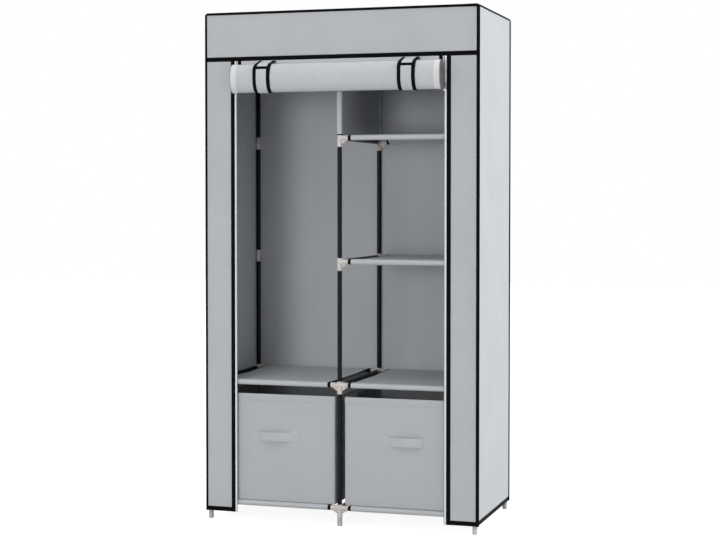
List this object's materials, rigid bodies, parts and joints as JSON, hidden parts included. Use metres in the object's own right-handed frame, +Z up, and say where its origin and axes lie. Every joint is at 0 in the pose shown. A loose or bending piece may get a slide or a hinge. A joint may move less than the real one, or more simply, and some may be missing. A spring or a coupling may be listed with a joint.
{
  "type": "portable fabric wardrobe",
  "caption": "Free-standing wardrobe: a push-fit tube frame with shelves, a hanging bay and bins in a sewn cloth cover with a roll-up zip door.",
  "frame": {"origin": "on the floor, at the middle of the overall box in X and Y", "axes": "+X to the right as seen from the front, +Y to the back, +Z up; the door side faces -Y"},
  "size_m": [0.8896, 0.5112, 1.6018],
  "materials": {
    "frame_tube": "satin black enamel",
    "foot_plastic": "warm white moulded plastic",
    "cover_cloth": "pale grey non-woven cloth with black binding",
    "door_cloth": "pale grey non-woven cloth, rolled",
    "bin_cloth": "stiffened grey non-woven cloth",
    "base_board": "grey fibreboard",
    "zip_metal": "dull grey die-cast alloy"
  },
  "bodies": {
    "frame_and_cover": {"post_front_left": "frame_tube", "post_front_centre": "frame_tube", "post_front_right": "frame_tube", "post_rear_left": "frame_tube", "post_rear_centre": "frame_tube", "post_rear_right": "frame_tube", "foot_front_left": "foot_plastic", "foot_front_centre": "foot_plastic", "foot_front_right": "foot_plastic", "foot_rear_left": "foot_plastic", "foot_rear_centre": "foot_plastic", "foot_rear_right": "foot_plastic", "rung_base_left": "frame_tube", "rung_base_centre": "frame_tube", "rung_base_right": "frame_tube", "rung_lower_left": "frame_tube", "rung_lower_centre": "frame_tube", "rung_lower_right": "frame_tube", "rung_middle_centre": "frame_tube", "rung_middle_right": "frame_tube", "rung_upper_centre": "frame_tube", "rung_upper_right": "frame_tube", "rung_top_left": "frame_tube", "rung_top_centre": "frame_tube", "rung_top_right": "frame_tube", "top_tube_front_left": "frame_tube", "top_tube_front_right": "frame_tube", "top_tube_rear_left": "frame_tube", "top_tube_rear_right": "frame_tube", "shelf_base_left": "cover_cloth", "shelf_base_right": "cover_cloth", "shelf_lower_left": "cover_cloth", "shelf_lower_right": "cover_cloth", "shelf_middle_right": "cover_cloth", "shelf_upper_right": "cover_cloth", "hanging_rail": "frame_tube", "divider_panel": "cover_cloth", "cover_top": "cover_cloth", "cover_back": "cover_cloth", "cover_valance": "cover_cloth", "cover_left": "cover_cloth", "cover_right": "cover_cloth", "door_roll": "door_cloth", "strap_loop_left": "door_cloth", "strap_loop_right": "door_cloth", "front_strip_left": "cover_cloth", "front_strip_right": "cover_cloth"},
    "bin_left": {"bin_left_shell": "bin_cloth", "bin_left_handle": "bin_cloth"},
    "bin_left_base": {"bin_left_board": "base_board"},
    "zip_left": {"zip_slider_left": "zip_metal"},
    "zip_left_tab": {"zip_pull_left": "zip_metal"},
    "strap_left": {"strap_tail_left": "door_cloth"},
    "bin_right": {"bin_right_shell": "bin_cloth", "bin_right_handle": "bin_cloth"},
    "bin_right_base": {"bin_right_board": "base_board"},
    "zip_right": {"zip_slider_right": "zip_metal"},
    "zip_right_tab": {"zip_pull_right": "zip_metal"},
    "strap_right": {"strap_tail_right": "door_cloth"}
  },
  "joints": [
    {"name": "bin_left_slide", "type": "slide", "parent": "frame_and_cover", "child": "bin_left", "axis": [0, -1, 0], "range_m": [0, 0.38], "deforming": ["front_strip_left"]},
    {"name": "bin_left_board_lift", "type": "slide", "parent": "bin_left", "child": "bin_left_base", "axis": [0, 0, 1], "range_m": [0, 0.3]},
    {"name": "zip_left_slide", "type": "slide", "parent": "frame_and_cover", "child": "zip_left", "axis": [0, 0, -1], "range_m": [0, 1.32733]},
    {"name": "zip_left_pull_swing", "type": "hinge", "parent": "zip_left", "child": "zip_left_tab", "pos_m": [-0.33825, -0.19727, 1.36033], "axis": [-1, 0, 0], "range_deg": [0, 50]},
    {"name": "strap_left_open", "type": "hinge", "parent": "frame_and_cover", "child": "strap_left", "pos_m": [-0.232, -0.24629, 1.3534], "axis": [1, 0, 0], "range_deg": [0, 150]},
    {"name": "bin_right_slide", "type": "slide", "parent": "frame_and_cover", "child": "bin_right", "axis": [0, -1, 0], "range_m": [0, 0.38], "deforming": ["front_strip_right"]},
    {"name": "bin_right_board_lift", "type": "slide", "parent": "bin_right", "child": "bin_right_base", "axis": [0, 0, 1], "range_m": [0, 0.3]},
    {"name": "zip_right_slide", "type": "slide", "parent": "frame_and_cover", "child": "zip_right", "axis": [0, 0, -1], "range_m": [0, 1.32733]},
    {"name": "zip_right_pull_swing", "type": "hinge", "parent": "zip_right", "child": "zip_right_tab", "pos_m": [0.33825, -0.19727, 1.36033], "axis": [-1, 0, 0], "range_deg": [0, 50]},
    {"name": "strap_right_open", "type": "hinge", "parent": "frame_and_cover", "child": "strap_right", "pos_m": [0.232, -0.24629, 1.3534], "axis": [1, 0, 0], "range_deg": [0, 150]}
  ]
}
